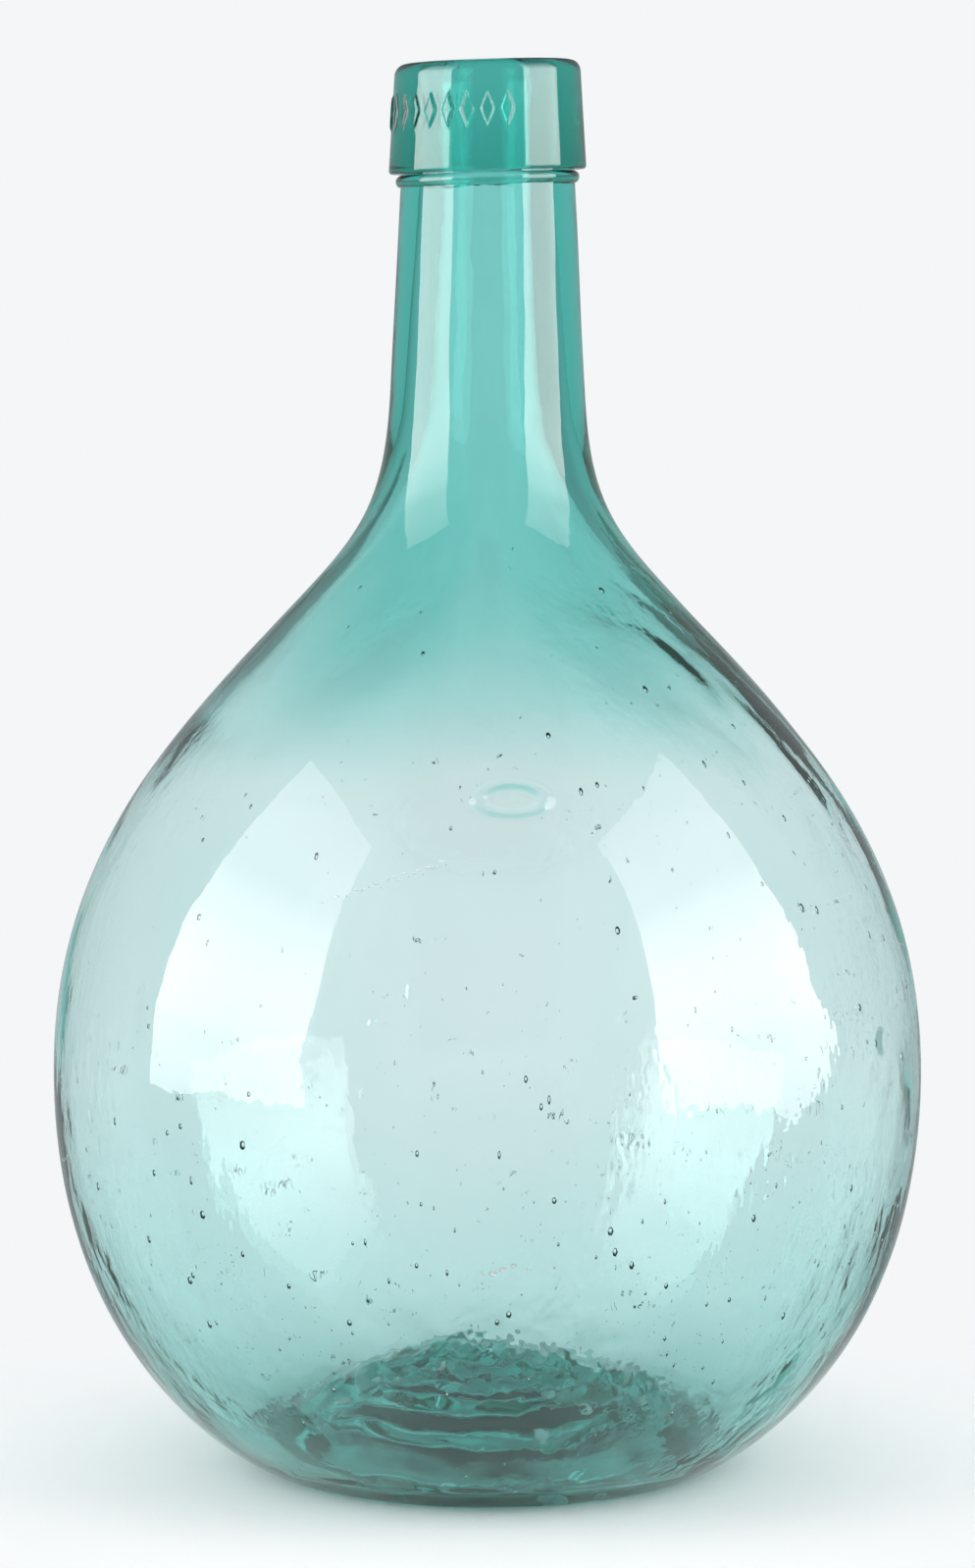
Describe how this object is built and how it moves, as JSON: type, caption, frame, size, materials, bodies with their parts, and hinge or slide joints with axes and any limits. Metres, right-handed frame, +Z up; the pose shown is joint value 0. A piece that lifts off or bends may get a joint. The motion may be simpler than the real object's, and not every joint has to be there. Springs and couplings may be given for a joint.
{
  "type": "demijohn",
  "caption": "Round blown-glass demijohn with a sloping shoulder, a slim tapering neck, a laid-on ring, an applied collar and a pushed-up base.",
  "frame": {"origin": "centre of the resting ring, on the plane the demijohn stands on", "axes": "+Z up along the axis of the bottle, -Y towards the viewer of the picture, +X to the viewer's right"},
  "size_m": [0.216, 0.216, 0.3485],
  "materials": {
    "body_glass": "clear blue-green, seedy, fire-polished",
    "ring_glass": "clear blue-green, fire-polished",
    "collar_glass": "clear blue-green, tooled"
  },
  "bodies": {
    "root": {"blown_body": "body_glass", "laid_on_ring": "ring_glass", "applied_collar": "collar_glass"}
  },
  "joints": []
}
